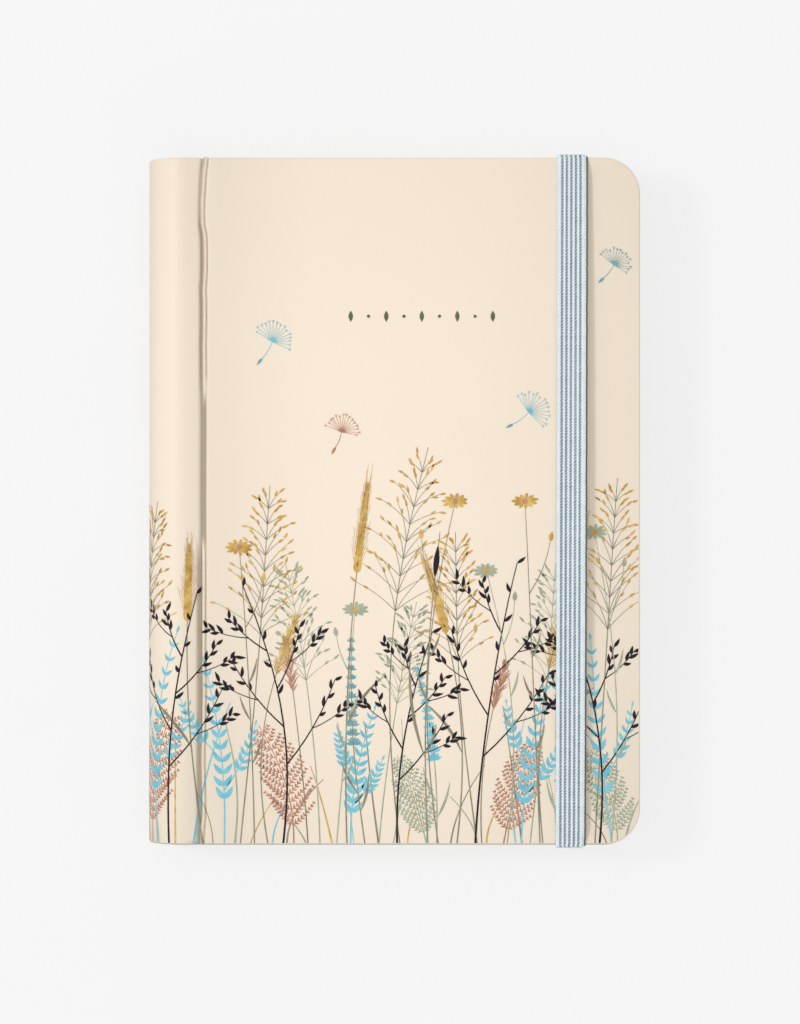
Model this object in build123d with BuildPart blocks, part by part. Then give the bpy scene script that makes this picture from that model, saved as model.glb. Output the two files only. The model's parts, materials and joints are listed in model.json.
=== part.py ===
"""Hardcover address book: cased covers, a round paper spine, twin-loop wire, tabbed sections and a band.

The book lies on its back cover. X runs to the fore-edge, Y to the head, Z up. Sizes are millimetres.
"""

import os
from math import cos, radians, sin, sqrt

from build123d import *

# Case: boards wrapped in paper
COVER_WIDTH = 127.0
COVER_HEIGHT = 178.0
CORNER_RADIUS = 9.5
BOARD = 2.0
WRAP = 0.25
TURN_IN = 14.0
ENDPAPER = 0.15
ENDPAPER_INSET = 3.0

# Round spine, and the crease that lets each cover turn
SPINE_LINER = 0.5
SPINE_STRIPS = 5
SPINE_FLAT = 4.2
CREASE_WIDTH = 3.0
CREASE_DEPTH = 1.0
STRIP_GAP = 0.12

# Leaves
SECTION_NAMES = "ab cd ef gh ij kl mn op qr st uvw xyz".split()
LEAVES_PER_SECTION = 6
LEAF = 0.12
DIVIDER = 0.3
LEAF_GAP = 0.05
BINDING_STRIP = 0.5
TITLE_LEAF = 0.4
COVER_GAP = 0.2
COVER_OVERHANG = 3.0
PAGE_CORNER = 5.0
TAB_DEPTH = 6.5
TAB_CORNER = 2.5
STRIP_GLUE = 16.0

# Twin-loop wire
WIRE = 0.9
LOOP_PITCH = 12.7
LOOP_PAIR = 3.2
LOOP_CLOSURE = 24.0
ROOT_BEND = 1.0
WIRE_CLEARANCE = 0.4
HOLE_CLEARANCE = 0.3
HOLE_SIDE_CLEARANCE = 0.5
HOLE_TO_EDGE = 2.3

# Elastic band, anchored in the back board
BAND_WIDTH = 7.5
BAND_THICKNESS = 0.8
BAND_TO_FORE_EDGE = 17.8
BAND_CLEARANCE = 0.05
BAND_CORNER = 0.6
SLIT_TO_EDGE = 10.0
SLIT_SIDE_CLEARANCE = 0.4
ANCHOR_LENGTH = 14.0

# Levels of the stack, from the outside of the back cover upwards
COVER = WRAP + BOARD + WRAP + ENDPAPER
SECTIONS = len(SECTION_NAMES)
LEAF_BLOCK = LEAVES_PER_SECTION * LEAF
SECTION_PITCH = DIVIDER + LEAF_GAP + LEAF_BLOCK + LEAF_GAP
STACK_BOTTOM = COVER + BINDING_STRIP + LEAF_GAP
STACK_TOP = STACK_BOTTOM + SECTIONS * SECTION_PITCH
THICKNESS = STACK_TOP + TITLE_LEAF + COVER_GAP + COVER

# Places across the book
FORE_X = COVER_WIDTH / 2
HALF_HEIGHT = COVER_HEIGHT / 2
SPINE_OUTER = THICKNESS / 2
SPINE_INNER = SPINE_OUTER - WRAP - SPINE_LINER
AXIS_X = -COVER_WIDTH / 2 + SPINE_OUTER
AXIS_Z = THICKNESS / 2
CREASE_X = AXIS_X + SPINE_FLAT
BOARD_X = CREASE_X + CREASE_WIDTH / 2
FLAT_X = CREASE_X - CREASE_WIDTH / 2
STRIP_TURN = 180 / SPINE_STRIPS

# The wire ring and the holes it runs through
RING_RADIUS = SPINE_INNER - WIRE_CLEARANCE - WIRE / 2
RING_ROOM = AXIS_Z - COVER
HOLE_IN = AXIS_X + sqrt((RING_RADIUS - WIRE / 2) ** 2 - RING_ROOM**2) - HOLE_CLEARANCE
HOLE_OUT = AXIS_X + RING_RADIUS + WIRE / 2 + HOLE_CLEARANCE
HOLE_HEIGHT = LOOP_PAIR + WIRE + 2 * HOLE_SIDE_CLEARANCE
PAGE_X = HOLE_IN - HOLE_TO_EDGE
PAGE_FORE_X = FORE_X - COVER_OVERHANG - TAB_DEPTH
PAGE_HEIGHT = COVER_HEIGHT - 2 * COVER_OVERHANG
LOOPS = int((PAGE_HEIGHT - HOLE_HEIGHT) / LOOP_PITCH)
TAB_HEIGHT = PAGE_HEIGHT / SECTIONS

# The band and its slits
BAND_X = FORE_X - BAND_TO_FORE_EDGE
SLIT_Y = HALF_HEIGHT - SLIT_TO_EDGE
SLIT_WIDTH = BAND_WIDTH + 2 * SLIT_SIDE_CLEARANCE
CHANNEL = BAND_THICKNESS + 2 * BAND_CLEARANCE


def spine_point(radius, turn):
    """Point on the round spine, turned from the back cover at 0 to the front cover at 180 degrees."""
    return (AXIS_X - radius * sin(radians(turn)), AXIS_Z - radius * cos(radians(turn)))


def wire_point(angle, y, along=0.0):
    """Point on the wire ring at a height y, and past it by a length along the ring's own direction."""
    a = radians(angle)
    x = AXIS_X + RING_RADIUS * cos(a) + along * sin(a)
    z = AXIS_Z + RING_RADIUS * sin(a) - along * cos(a)
    return x, y, z


def cover_sketch(inset):
    """Outline of a cover from the edge of its board, drawn in along head, tail and fore-edge."""
    with BuildSketch() as outline:
        with Locations((BOARD_X, 0)):
            Rectangle(
                FORE_X - inset - BOARD_X,
                COVER_HEIGHT - 2 * inset,
                align=(Align.MIN, Align.CENTER),
            )
        corners = outline.vertices().sort_by(Axis.X)[-2:]
        if CORNER_RADIUS > inset:
            fillet(corners, CORNER_RADIUS - inset)
    return outline.sketch


def punched_sketch(fore_x, corner, tab=None):
    """Outline of a leaf with its binding holes, and with the tab of one place down the fore-edge."""
    with BuildSketch() as leaf:
        with Locations((PAGE_X, 0)):
            Rectangle(fore_x - PAGE_X, PAGE_HEIGHT, align=(Align.MIN, Align.CENTER))
        fillet(leaf.vertices().sort_by(Axis.X)[-2:], corner)
        if tab is not None:
            tab_y = PAGE_HEIGHT / 2 - TAB_HEIGHT * (tab + 0.5)
            with Locations((fore_x - corner, tab_y)):
                Rectangle(corner + TAB_DEPTH, TAB_HEIGHT, align=(Align.MIN, Align.CENTER))
            fillet(leaf.vertices().sort_by(Axis.X)[-2:], TAB_CORNER)
        with Locations(((HOLE_IN + HOLE_OUT) / 2, 0)):
            with GridLocations(1, LOOP_PITCH, 1, LOOPS):
                Rectangle(HOLE_OUT - HOLE_IN, HOLE_HEIGHT, mode=Mode.SUBTRACT)
    return leaf.sketch


def crease_leg(from_x, to_x, level, inward):
    """Slope of the wrap from a cover's outside down to the bottom of the crease."""
    low = level + inward * CREASE_DEPTH
    with BuildSketch() as leg:
        with BuildLine():
            Polyline(
                (from_x, level),
                (to_x, low),
                (to_x, low + inward * WRAP),
                (from_x, level + inward * WRAP),
                close=True,
            )
        make_face()
    return leg.sketch


def band_cuts():
    """Channels, slits and anchor pockets that the band takes out of the back cover."""
    with BuildPart() as cuts:
        for side in (1, -1):
            edge = (Align.CENTER, Align.MIN if side > 0 else Align.MAX, Align.MIN)
            back = (Align.CENTER, Align.MAX if side > 0 else Align.MIN, Align.MIN)
            with Locations((BAND_X, side * (SLIT_Y - CHANNEL), 0)):
                Box(SLIT_WIDTH, SLIT_TO_EDGE + 2 * CHANNEL, CHANNEL, align=edge)
                Box(SLIT_WIDTH, CHANNEL, WRAP + BOARD, align=edge)
            with Locations((BAND_X, side * SLIT_Y, WRAP + BOARD - CHANNEL)):
                Box(SLIT_WIDTH, CHANNEL + ANCHOR_LENGTH, CHANNEL, align=back)
    return cuts.part


os.makedirs("parts", exist_ok=True)

# Back cover: board, wrap turned in over its edges, and the sheet pasted inside
with BuildPart() as back_board:
    with BuildSketch(Plane.XY.offset(WRAP)):
        add(cover_sketch(WRAP))
    extrude(amount=BOARD)
    add(band_cuts(), mode=Mode.SUBTRACT)
back_board.part.label = "back_board"
export_step(back_board.part, "parts/back_board.step")

with BuildPart() as back_cover_wrap:
    with BuildSketch():
        add(cover_sketch(0))
    extrude(amount=WRAP + BOARD + WRAP)
    with BuildSketch(Plane.XY.offset(WRAP)):
        add(cover_sketch(WRAP))
    extrude(amount=BOARD, mode=Mode.SUBTRACT)
    with BuildSketch(Plane.XY.offset(WRAP + BOARD)):
        add(cover_sketch(TURN_IN))
    extrude(amount=WRAP, mode=Mode.SUBTRACT)
    with BuildSketch(Plane.XZ):
        add(crease_leg(BOARD_X, CREASE_X + STRIP_GAP / 2, 0, 1))
    extrude(amount=HALF_HEIGHT, both=True)
    add(band_cuts(), mode=Mode.SUBTRACT)
back_cover_wrap.part.label = "back_cover_wrap"
export_step(back_cover_wrap.part, "parts/back_cover_wrap.step")

with BuildPart() as back_endpaper:
    with BuildSketch(Plane.XY.offset(WRAP + BOARD)):
        add(cover_sketch(TURN_IN))
    extrude(amount=WRAP)
    with BuildSketch(Plane.XY.offset(COVER - ENDPAPER)):
        add(cover_sketch(ENDPAPER_INSET))
    extrude(amount=ENDPAPER)
back_endpaper.part.label = "back_endpaper"
export_step(back_endpaper.part, "parts/back_endpaper.step")

# Front cover: the same three pieces, the other way up
with BuildPart() as front_board:
    with BuildSketch(Plane.XY.offset(THICKNESS - WRAP)):
        add(cover_sketch(WRAP))
    extrude(amount=-BOARD)
front_board.part.label = "front_board"
export_step(front_board.part, "parts/front_board.step")

with BuildPart() as front_cover_wrap:
    with BuildSketch(Plane.XY.offset(THICKNESS)):
        add(cover_sketch(0))
    extrude(amount=-(WRAP + BOARD + WRAP))
    with BuildSketch(Plane.XY.offset(THICKNESS - WRAP)):
        add(cover_sketch(WRAP))
    extrude(amount=-BOARD, mode=Mode.SUBTRACT)
    with BuildSketch(Plane.XY.offset(THICKNESS - WRAP - BOARD)):
        add(cover_sketch(TURN_IN))
    extrude(amount=-WRAP, mode=Mode.SUBTRACT)
    with BuildSketch(Plane.XZ):
        add(crease_leg(BOARD_X, CREASE_X + STRIP_GAP / 2, THICKNESS, -1))
    extrude(amount=HALF_HEIGHT, both=True)
front_cover_wrap.part.label = "front_cover_wrap"
export_step(front_cover_wrap.part, "parts/front_cover_wrap.step")

with BuildPart() as front_endpaper:
    with BuildSketch(Plane.XY.offset(THICKNESS - WRAP - BOARD)):
        add(cover_sketch(TURN_IN))
    extrude(amount=-WRAP)
    with BuildSketch(Plane.XY.offset(THICKNESS - COVER + ENDPAPER)):
        add(cover_sketch(ENDPAPER_INSET))
    extrude(amount=-ENDPAPER)
front_endpaper.part.label = "front_endpaper"
export_step(front_endpaper.part, "parts/front_endpaper.step")

# Round spine: wrap and liner in strips, parted where the paper bends as the book is laid open
PART_TURN = STRIP_GAP / 2 / radians(1) / SPINE_OUTER
for strip in range(SPINE_STRIPS):
    first = strip == 0
    last = strip == SPINE_STRIPS - 1
    low = STRIP_TURN * strip + (0 if first else PART_TURN)
    high = STRIP_TURN * (strip + 1) - (0 if last else PART_TURN)
    middle = (low + high) / 2
    for layer, outer, inner in (
        ("wrap", SPINE_OUTER, SPINE_OUTER - WRAP),
        ("liner", SPINE_OUTER - WRAP, SPINE_INNER),
    ):
        with BuildPart() as spine_piece:
            with BuildSketch(Plane.XZ):
                with BuildLine():
                    ThreePointArc(
                        spine_point(outer, low), spine_point(outer, middle), spine_point(outer, high)
                    )
                    Line(spine_point(outer, high), spine_point(inner, high))
                    ThreePointArc(
                        spine_point(inner, high), spine_point(inner, middle), spine_point(inner, low)
                    )
                    Line(spine_point(inner, low), spine_point(outer, low))
                make_face()
                if first or last:
                    level = AXIS_Z - outer if first else AXIS_Z + inner
                    with Locations((AXIS_X, level)):
                        Rectangle(FLAT_X - AXIS_X, outer - inner, align=(Align.MIN, Align.MIN))
                if (first or last) and layer == "wrap":
                    outside = 0 if first else THICKNESS
                    inward = 1 if first else -1
                    add(crease_leg(FLAT_X, CREASE_X - STRIP_GAP / 2, outside, inward))
            extrude(amount=HALF_HEIGHT, both=True)
        piece_name = f"spine_{layer}_{strip + 1}"
        spine_piece.part.label = piece_name
        export_step(spine_piece.part, f"parts/{piece_name}.step")

# Card strip glued inside the back cover, which holds the wire
with BuildPart() as binding_strip:
    with BuildSketch(Plane.XY.offset(COVER)):
        add(punched_sketch(BOARD_X + STRIP_GLUE, PAGE_CORNER / 2))
    extrude(amount=BINDING_STRIP)
binding_strip.part.label = "binding_strip"
export_step(binding_strip.part, "parts/binding_strip.step")

# Twin-loop wire: one loop of the pair up and back, repeated along the spine
TIP = LOOP_CLOSURE / 2 - 90
ROOT = 270 - LOOP_CLOSURE / 2
QUARTER = (ROOT - TIP) / 4
HALF_PAIR = LOOP_PAIR / 2
BEND_Y = HALF_PAIR + ROOT_BEND
BEND_PART = ROOT_BEND * (1 - sqrt(0.5))
with BuildPart() as wire_loop:
    with BuildLine() as path:
        for side in (-1, 1):
            y = side * HALF_PAIR
            link = wire_point(ROOT, side * BEND_Y, -ROOT_BEND)
            Line(wire_point(ROOT, side * LOOP_PITCH / 2, -ROOT_BEND), link)
            bend = wire_point(ROOT, side * (HALF_PAIR + BEND_PART), BEND_PART - ROOT_BEND)
            ThreePointArc(link, bend, wire_point(ROOT, y))
            for turn in range(4):
                here = ROOT - QUARTER * turn
                ThreePointArc(
                    wire_point(here, y),
                    wire_point(here - QUARTER / 2, y),
                    wire_point(here - QUARTER, y),
                )
        ThreePointArc(
            wire_point(TIP, -HALF_PAIR), wire_point(TIP, 0, HALF_PAIR), wire_point(TIP, HALF_PAIR)
        )
    start = wire_point(ROOT, -LOOP_PITCH / 2, -ROOT_BEND)
    with BuildSketch(Plane(origin=start, x_dir=(1, 0, 0), z_dir=(0, 1, 0))):
        Circle(WIRE / 2)
    sweep(path=path.wire())

# Least gap of the wire to itself, on points along one loop and the start of the next
SAMPLES = 240
loop_line = path.wire()
samples = [loop_line.position_at(k / SAMPLES) for k in range(SAMPLES)]
samples += [point + Vector(0, LOOP_PITCH, 0) for point in samples]
apart = int(3 * WIRE / loop_line.length * SAMPLES)
wire_gap = -WIRE + min(
    (a - b).length for k, a in enumerate(samples[:SAMPLES]) for b in samples[k + apart :]
)

with BuildPart() as twin_loop_wire:
    with GridLocations(1, LOOP_PITCH, 1, LOOPS):
        add(wire_loop.part)
twin_loop_wire.part.label = "twin_loop_wire"
export_step(twin_loop_wire.part, "parts/twin_loop_wire.step")

# Leaves: the last section lies on the binding strip, the title leaf on top
for place, letters in enumerate(SECTION_NAMES):
    bottom = STACK_TOP - SECTION_PITCH * (place + 1) + LEAF_GAP
    with BuildPart() as leaves:
        with BuildSketch(Plane.XY.offset(bottom)):
            add(punched_sketch(PAGE_FORE_X, PAGE_CORNER))
        extrude(amount=LEAF_BLOCK)
    leaves.part.label = f"leaves_{letters}"
    export_step(leaves.part, f"parts/leaves_{letters}.step")

    with BuildPart() as divider:
        with BuildSketch(Plane.XY.offset(bottom + LEAF_BLOCK + LEAF_GAP)):
            add(punched_sketch(PAGE_FORE_X, PAGE_CORNER, place))
        extrude(amount=DIVIDER)
    divider.part.label = f"divider_{letters}"
    export_step(divider.part, f"parts/divider_{letters}.step")

with BuildPart() as title_leaf:
    with BuildSketch(Plane.XY.offset(STACK_TOP + LEAF_GAP)):
        add(punched_sketch(PAGE_FORE_X, PAGE_CORNER))
    extrude(amount=TITLE_LEAF)
title_leaf.part.label = "title_leaf"
export_step(title_leaf.part, "parts/title_leaf.step")

# Elastic band: round the book, through the slits and under the back endpaper
BAND_END = HALF_HEIGHT + BAND_CLEARANCE + BAND_THICKNESS
BAND_TOP = THICKNESS + BAND_CLEARANCE + BAND_THICKNESS
ANCHOR_TOP = WRAP + BOARD - BAND_CLEARANCE
with BuildPart() as elastic_band:
    with BuildSketch(Plane.YZ.offset(BAND_X)) as loop:
        with Locations((0, BAND_TOP)):
            Rectangle(2 * BAND_END, BAND_THICKNESS, align=(Align.CENTER, Align.MAX))
        for side in (1, -1):
            out = (Align.MAX if side > 0 else Align.MIN, Align.MIN)
            riser_y = side * (SLIT_Y - BAND_CLEARANCE)
            with Locations((side * BAND_END, BAND_CLEARANCE)):
                Rectangle(BAND_THICKNESS, BAND_TOP - BAND_CLEARANCE, align=out)
                Rectangle(BAND_END - abs(riser_y) + BAND_THICKNESS, BAND_THICKNESS, align=out)
            with Locations((riser_y, BAND_CLEARANCE)):
                Rectangle(BAND_THICKNESS, ANCHOR_TOP - BAND_CLEARANCE, align=out)
            with Locations((riser_y, ANCHOR_TOP - BAND_THICKNESS)):
                Rectangle(ANCHOR_LENGTH, BAND_THICKNESS, align=out)
        ends = loop.vertices().filter_by(lambda v: abs(abs(v.Y) - BAND_END) < 0.001)
        fillet(ends, BAND_CORNER)
    extrude(amount=BAND_WIDTH / 2, both=True)
elastic_band.part.label = "elastic_band"
export_step(elastic_band.part, "parts/elastic_band.step")

print(f"thickness {THICKNESS:.3f}, ring radius {RING_RADIUS:.3f}, loops {LOOPS}, spine axis {AXIS_X:.3f}")
print(f"least gap of the wire to itself {wire_gap:.3f}")
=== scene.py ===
"""Looks of a hardcover address book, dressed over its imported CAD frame. Lengths are metres."""

import json
import math
import random

import bmesh
import bpy
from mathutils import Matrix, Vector
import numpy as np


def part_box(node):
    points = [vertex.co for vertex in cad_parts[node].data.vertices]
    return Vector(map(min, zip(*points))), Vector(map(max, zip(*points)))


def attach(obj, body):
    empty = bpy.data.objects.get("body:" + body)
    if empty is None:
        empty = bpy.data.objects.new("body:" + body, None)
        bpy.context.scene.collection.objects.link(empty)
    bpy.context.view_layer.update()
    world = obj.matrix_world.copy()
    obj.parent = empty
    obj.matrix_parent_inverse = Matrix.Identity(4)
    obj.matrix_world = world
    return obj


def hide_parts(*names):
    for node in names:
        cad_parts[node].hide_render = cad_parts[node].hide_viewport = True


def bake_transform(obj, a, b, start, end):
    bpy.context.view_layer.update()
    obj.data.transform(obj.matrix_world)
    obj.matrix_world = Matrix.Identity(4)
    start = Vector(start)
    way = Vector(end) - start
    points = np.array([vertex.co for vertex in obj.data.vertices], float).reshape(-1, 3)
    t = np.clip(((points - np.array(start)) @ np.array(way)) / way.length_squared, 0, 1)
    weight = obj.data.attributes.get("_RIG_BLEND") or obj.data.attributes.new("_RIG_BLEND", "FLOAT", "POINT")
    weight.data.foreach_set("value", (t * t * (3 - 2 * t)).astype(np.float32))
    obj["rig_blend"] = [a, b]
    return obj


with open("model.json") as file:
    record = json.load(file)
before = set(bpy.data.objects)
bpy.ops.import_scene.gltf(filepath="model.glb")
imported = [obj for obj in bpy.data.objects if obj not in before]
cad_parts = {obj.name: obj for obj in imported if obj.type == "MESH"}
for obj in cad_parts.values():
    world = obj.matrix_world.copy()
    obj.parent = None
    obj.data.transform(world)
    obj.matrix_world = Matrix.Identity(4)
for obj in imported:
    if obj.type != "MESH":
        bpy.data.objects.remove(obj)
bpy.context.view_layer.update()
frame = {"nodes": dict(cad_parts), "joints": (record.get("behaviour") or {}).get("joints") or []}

MM = 0.001

# Places taken from the frame
JOINTS = {j["name"]: j for j in frame["joints"]}
NODES = frame["nodes"]
COVER_LOW, COVER_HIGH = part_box("front_cover_wrap")
FORE, HEAD, TOP = COVER_HIGH
EDGE = TOP - COVER_LOW.z
BOARD_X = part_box("front_board")[0].x
CREASE_X = BOARD_X - 1.5 * MM
AXIS_X, _, AXIS_Z = JOINTS["book_open"]["pos_m"]
RADIUS = AXIS_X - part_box("spine_wrap_3")[0].x
FLAT = CREASE_X - AXIS_X
ARC = math.pi * RADIUS
BACK_CREASE = -2 * FLAT - ARC
STRIPS = 5
SECTIONS = [n[8:] for n in NODES if n.startswith("divider_")]
SECTIONS.sort(key=lambda n: -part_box("divider_" + n)[0].z)  # the top one first

# Sizes of the dressed case
CORNER = 9.5 * MM
EDGE_ROUND = 0.45 * MM
PANEL_START = 2.2 * MM
SPINE_BULGE = 0.8 * MM
RIBS = 6
RIB_PITCH = 1.17 * MM


def smooth(low, high, value):
    """0 before low, 1 after high, eased between."""
    t = min(max((value - low) / (high - low), 0.0), 1.0)
    return t * t * (3 - 2 * t)


def hump(at, centre, width):
    """A smooth rise to 1 at its centre."""
    return math.exp(-(((at - centre) / width) ** 2))


def profile(points, at):
    """Height at a place on a smooth line through the points, with no overshoot between them."""
    if at <= points[0][0]:
        return points[0][1]
    if at >= points[-1][0]:
        return points[-1][1]
    slopes = [(d - b) / (c - a) for (a, b), (c, d) in zip(points, points[1:])]
    i = next(k for k in range(len(slopes)) if at < points[k + 1][0])
    ends = []
    for k in (i, i + 1):
        before, after = slopes[max(k - 1, 0)], slopes[min(k, len(slopes) - 1)]
        inside = 0 < k < len(slopes) and before * after > 0
        ends.append(2 * before * after / (before + after) if inside else 0.0)
    (a, low), (b, high) = points[i], points[i + 1]
    t = (at - a) / (b - a)
    lean = (b - a) * (ends[0] * t * (1 - t) ** 2 - ends[1] * t * t * (1 - t))
    return low + (high - low) * t * t * (3 - 2 * t) + lean


# Materials


def linear(r, g, b):
    """Linear colour, with its alpha, from the eight-bit values that a picture shows."""
    levels = [((v / 255 + 0.055) / 1.055) ** 2.4 if v > 10 else v / 255 / 12.92 for v in (r, g, b)]
    return (*levels, 1)


TOOTH = 0.02 * MM


class Shader:
    """A material with a principled shader, and short ways to add nodes. Colours are eight-bit values."""

    def __init__(self, name, color, rough, **sockets):
        self.mat = bpy.data.materials.new(name)
        self.mat.use_nodes = True
        self.tree = self.mat.node_tree
        self.bsdf = self.tree.nodes["Principled BSDF"].inputs
        self.bsdf["Base Color"].default_value = linear(*color)
        self.bsdf["Roughness"].default_value = rough
        for socket, value in sockets.items():
            self.bsdf[socket.replace("_", " ")].default_value = value

    def feed(self, socket, value):
        """Sets a socket to a plain value, or links it to another node's output."""
        if isinstance(value, bpy.types.NodeSocket):
            self.tree.links.new(value, socket)
        else:
            socket.default_value = value

    def add(self, kind, settings=None, **inputs):
        """A node with its plain settings and its inputs, each a value or another node's output."""
        node = self.tree.nodes.new("ShaderNode" + kind)
        for key, value in (settings or {}).items():
            setattr(node, key, value)
        for key, value in inputs.items():
            numbered = key[0] == "i" and key[1:].isdigit()
            self.feed(node.inputs[int(key[1:]) if numbered else key], value)
        return node

    def calc(self, operation, a, b=0.0, c=0.0):
        return self.add("Math", {"operation": operation}, i0=a, i1=b, i2=c).outputs[0]

    def mix(self, factor, a, b):
        """Colour between a and b."""
        node = self.add("Mix", {"data_type": "RGBA"}, i0=factor)
        for index, color in ((6, a), (7, b)):
            self.feed(node.inputs[index], linear(*color) if isinstance(color, tuple) else color)
        return node.outputs[2]

    def ranged(self, value, low, high):
        """0 at low and below it, 1 at high and above it."""
        return self.add("MapRange", None, Value=value, **{"From Min": low, "From Max": high}).outputs[0]

    def clamp(self, value):
        return self.add("Clamp", None, Value=value).outputs[0]

    def place(self):
        return self.add("TexCoord").outputs["Object"]

    def axes(self, vector):
        return self.add("SeparateXYZ", None, Vector=vector).outputs

    def noise(self, scale, detail=3.0):
        return self.add("TexNoise", None, Vector=self.place(), Scale=scale, Detail=detail).outputs[0]

    def plain(self):
        """What colours the material so far."""
        return self.bsdf["Base Color"].links[0].from_socket

    def color(self, value):
        self.feed(self.bsdf["Base Color"], value)

    def bump(self, height, strength, distance):
        node = self.add("Bump", None, Strength=strength, Distance=distance, Height=height)
        self.feed(self.bsdf["Normal"], node.outputs[0])


def paper(name, color, shade, rough, grain=900.0):
    """Paper with a soft cloudiness, fine fibres and a slight tooth."""
    m = Shader(name, color, rough)
    cloud = m.noise(45.0, 4.0)
    fibre = m.noise(grain * 2.2, 2.0)
    spread = m.calc("MULTIPLY_ADD", fibre, 0.35, m.calc("MULTIPLY", cloud, 0.65))
    m.color(m.mix(spread, shade, color))
    m.bump(m.noise(grain), 0.25, TOOTH)
    return m


# How much painted shade darkens a cover, from the spine to the fore-edge and from the tail to the head
SPINE_TO_FORE = (
    (0, 0.7), (0.03, 0.1), (0.048, 0.6), (0.065, 0.5), (0.09, 0.85), (0.15, 0.7), (0.2, 0.55), (0.33, 0),
    (0.7, 0), (1, 0.75)
)
TAIL_TO_HEAD = ((0, 0.45), (0.3, 0), (0.75, 0), (1, 0.35))


def painted_shading(m, painted_shade_tone, painted_crease_shade):
    """Paints shade into a cover's colour beside the joint and towards its edges, and the painted shade of
    the crease and the tail edge.
    """
    x, y, _ = m.axes(m.place())
    ramps = []
    for axis, reach, stops in ((x, FORE, SPINE_TO_FORE), (y, HEAD, TAIL_TO_HEAD)):
        ramp = m.add("ValToRGB", None, Fac=m.ranged(axis, -reach, reach))
        ramp.color_ramp.interpolation = "B_SPLINE"
        for k, (at, level) in enumerate(stops):
            stop = ramp.color_ramp.elements[k] if k < 2 else ramp.color_ramp.elements.new(at)
            stop.position = at
            stop.color = (level, level, level, 1)
        ramps.append(ramp.outputs[0])
    share = m.clamp(m.calc("ADD", *ramps))
    # The fold attribute holds the painted shade of the crease valleys and of the rounded tail edge
    fold = m.add("Attribute", {"attribute_name": "fold"}).outputs["Fac"]
    m.color(m.mix(fold, m.mix(share, m.plain(), painted_shade_tone), painted_crease_shade))
    return m


def ink(name, color, shade, rough=0.5, **sockets):
    """Printing ink, a little uneven in colour and raised grain."""
    m = Shader(name, color, rough, **sockets)
    ramp = m.add("ValToRGB", None, Fac=m.noise(420.0))
    ramp.color_ramp.elements[0].position = 0.32
    ramp.color_ramp.elements[1].position = 0.68
    m.color(m.mix(ramp.outputs[0], shade, color))
    m.bump(m.noise(2600.0, 2.0), 0.2, TOOTH)
    return m.mat


def ruled(name, color, shade, line_color, pitch, margin):
    """Leaf paper with thin printed rules across it, clear of the margins."""
    m = paper(name, color, shade, 0.75)
    x, y, _ = m.axes(m.place())
    low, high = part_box("leaves_" + SECTIONS[0])
    line = m.calc("LESS_THAN", m.calc("FRACT", m.calc("DIVIDE", y, pitch)), 0.2 * MM / pitch)
    for inside in (
        m.calc("GREATER_THAN", x, low.x + 2.2 * margin),
        m.calc("LESS_THAN", x, high.x - margin),
        m.calc("LESS_THAN", m.calc("ABSOLUTE", y), high.y - 1.3 * margin),
    ):
        line = m.calc("MULTIPLY", line, inside)
    m.color(m.mix(line, m.plain(), line_color))
    return m.mat


def card(name, color, shade, tab_color, tab_start):
    """Divider card, with its tabs tinted past a line along the fore-edge."""
    m = paper(name, color, shade, 0.6, 700.0)
    tab = m.calc("GREATER_THAN", m.axes(m.place())[0], tab_start)
    m.color(m.mix(tab, m.plain(), tab_color))
    return m.mat


STITCH_PITCH = 0.79 * MM
STITCH_SLANT = -0.6


def woven(name, rib_color, groove_color, painted_shadow_color):
    """Ribbed elastic: slanting stitches in dark cords between pale ribs, and a painted shadow along one
    edge.
    """
    m = Shader(name, rib_color, 0.75, Sheen_Weight=0.25, Sheen_Roughness=0.5)
    x, y, _ = m.axes(m.add("UVMap").outputs[0])
    across = m.calc("DIVIDE", x, RIB_PITCH)
    aside = m.calc("SUBTRACT", m.calc("FRACT", m.calc("ADD", across, 0.5)), 0.5)
    side = m.calc("SUBTRACT", 0.5, m.calc("ABSOLUTE", aside))
    middle = m.calc("ABSOLUTE", m.calc("SUBTRACT", across, RIBS / 2))
    inner = m.calc("LESS_THAN", middle, RIBS / 2 - 0.5)
    side = m.calc("MULTIPLY", side, inner)
    fuzz = m.noise(2500.0, 2.0)
    drift = m.noise(420.0, 2.0)
    slant = m.calc("MULTIPLY_ADD", aside, STITCH_SLANT * RIB_PITCH, y)
    slant = m.calc("MULTIPLY_ADD", fuzz, 0.2 * MM, slant)
    slant = m.calc("MULTIPLY_ADD", drift, 1.1 * MM, slant)
    stitch = m.calc("SINE", m.calc("MULTIPLY", slant, 2 * math.pi / STITCH_PITCH))
    groove = m.ranged(m.calc("MULTIPLY_ADD", stitch, 0.04, side), 0.15, 0.3)
    # Painted shadow on the band's right edge and on the ledge past it
    painted_shadow = m.ranged(across, RIBS + 0.2, RIBS + 0.28)
    tint = m.calc("MULTIPLY", groove, m.calc("MULTIPLY_ADD", stitch, 0.2, 0.76))
    edge = m.calc("MULTIPLY", m.calc("SUBTRACT", 1.0, inner), 0.1)
    tint = m.calc("ADD", tint, m.calc("MULTIPLY_ADD", edge, stitch, edge))
    for uneven in (fuzz, drift):
        tint = m.calc("MULTIPLY_ADD", m.calc("SUBTRACT", uneven, 0.5), 0.3, tint)
    m.color(m.mix(painted_shadow, m.mix(m.clamp(tint), rib_color, groove_color), painted_shadow_color))
    m.bump(m.calc("MULTIPLY_ADD", fuzz, 0.4, stitch), 0.55, 0.05 * MM)
    return m.mat


def drawn_wire(name, color, shade):
    """Coated binding wire with faint draw marks and a slightly uneven shine."""
    m = Shader(name, color, 0.32, Metallic=1.0)
    cloud = m.noise(260.0)
    m.color(m.mix(cloud, shade, color))
    m.feed(m.bsdf["Roughness"], m.calc("MULTIPLY_ADD", cloud, 0.3, 0.18))
    m.bump(m.noise(3200.0, 2.0), 0.15, TOOTH)
    return m.mat


# Painted shade: the second colour darkens the cover towards its edges and beside the joint, the third the
# crease valleys and the tail edge
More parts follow.
